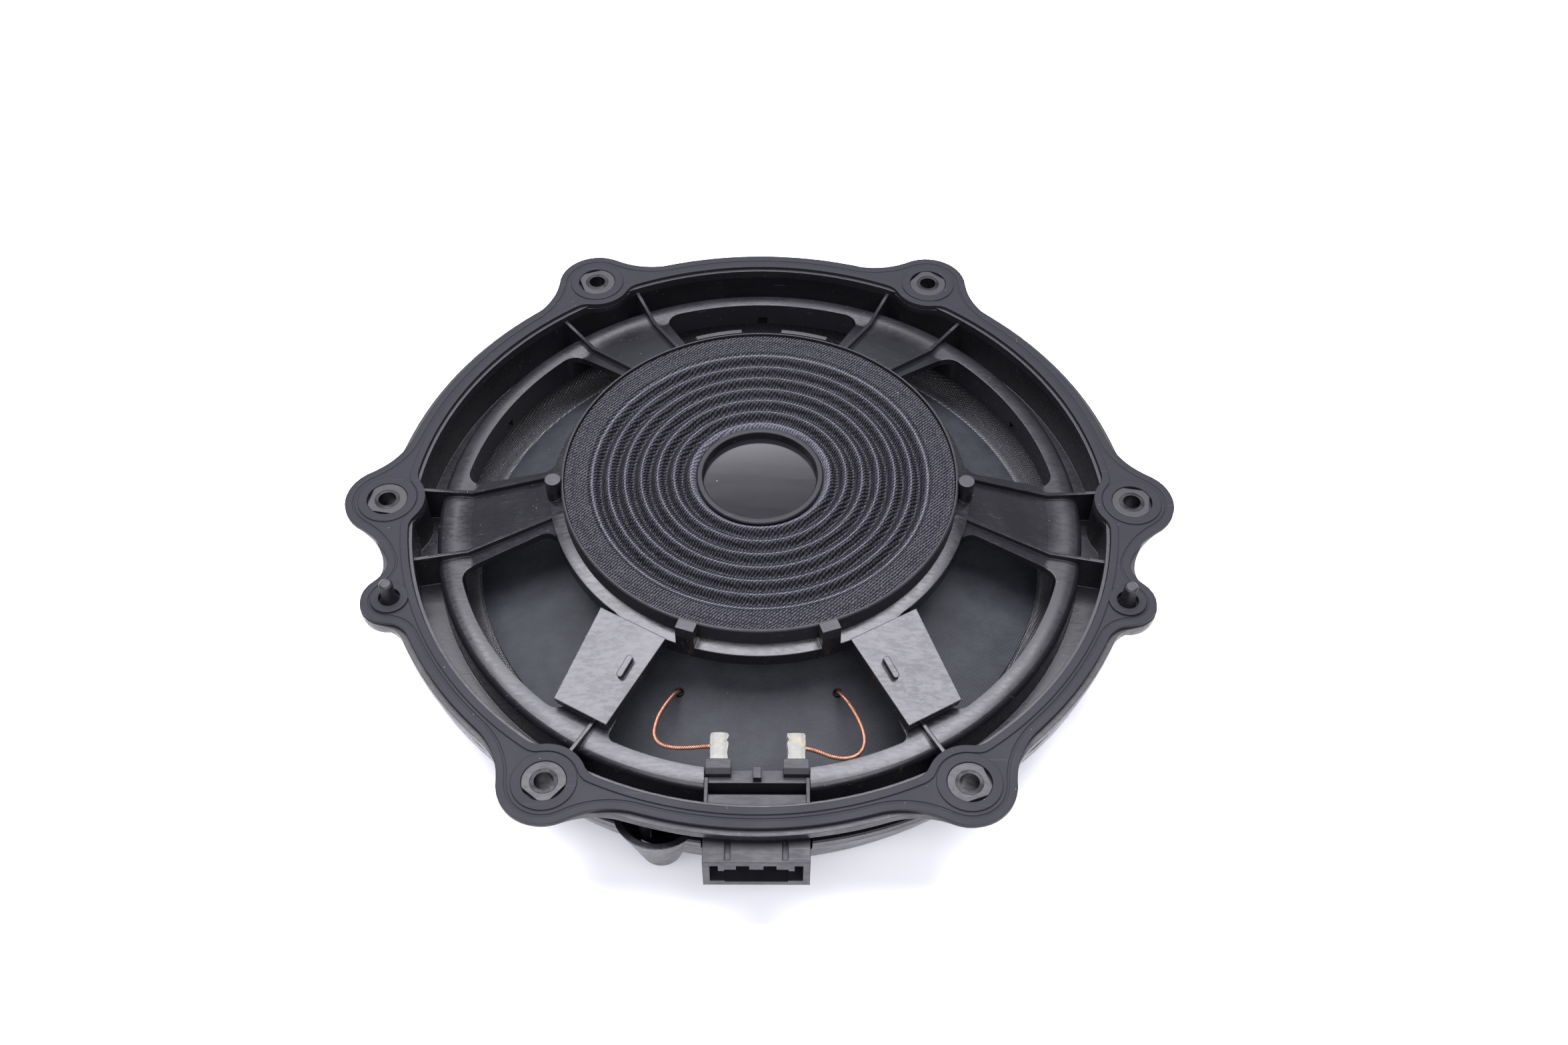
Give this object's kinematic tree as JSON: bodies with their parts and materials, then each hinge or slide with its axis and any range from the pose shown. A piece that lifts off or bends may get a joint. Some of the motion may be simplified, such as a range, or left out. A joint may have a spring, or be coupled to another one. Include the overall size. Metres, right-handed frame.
{
  "type": "car subwoofer speaker",
  "caption": "Shallow car subwoofer driver with its motor in front of the cone, an exposed corrugated spider and a flange for panel mounting.",
  "frame": {"origin": "centre of the circle of screw holes, on the gasket's mating face", "axes": "+Z along the cone's axis towards the spider side, +X to the right, -Y towards the cable connector"},
  "size_m": [0.256, 0.2363, 0.0587],
  "materials": {
    "frame_plastic": "satin moulded, scuffed",
    "gasket_rubber": "matte",
    "sleeve_steel": "zinc plated",
    "spider_cloth": "woven",
    "surround_cloth": "matte",
    "cone_paper": "felted paper",
    "cap_gloss": "gloss",
    "cap_plastic": "satin",
    "tinned_metal": "tinned, stained",
    "copper": "braided",
    "yoke_steel": "zinc plated",
    "magnet_nickel": "nickel plated",
    "adhesive": "cured bead",
    "former_film": "polyimide film"
  },
  "bodies": {
    "frame": {"basket": "frame_plastic", "mounting_gasket": "gasket_rubber", "mounting_sleeves": "sleeve_steel", "front_ring": "frame_plastic", "motor_bridge": "frame_plastic", "bridge_screws": "sleeve_steel", "motor_screws": "sleeve_steel", "yoke_cup": "yoke_steel", "magnet": "magnet_nickel", "top_plate": "yoke_steel", "shorting_ring": "copper", "spider_ring": "frame_plastic", "spider_glue": "adhesive", "spider": "spider_cloth", "surround": "surround_cloth", "connector_housing": "frame_plastic", "connector_pins": "tinned_metal", "terminal_tab_left": "tinned_metal", "terminal_tab_right": "tinned_metal", "tinsel_lead_left": "copper", "tinsel_lead_right": "copper"},
    "moving_assembly": {"cone": "cone_paper", "cone_glue": "adhesive", "lead_eyelets": "cap_plastic", "coil_leads": "copper", "coil_former": "former_film", "voice_coil": "copper", "cap_ring": "cap_plastic", "dust_cap": "cap_gloss"}
  },
  "joints": [
    {"name": "cone_slide", "type": "slide", "parent": "frame", "child": "moving_assembly", "axis": [0, 0, 1], "range_m": [-0.007, 0.007], "stiffness_N_per_m": 2500, "deforming": ["spider", "surround", "tinsel_lead_left", "tinsel_lead_right"]}
  ]
}
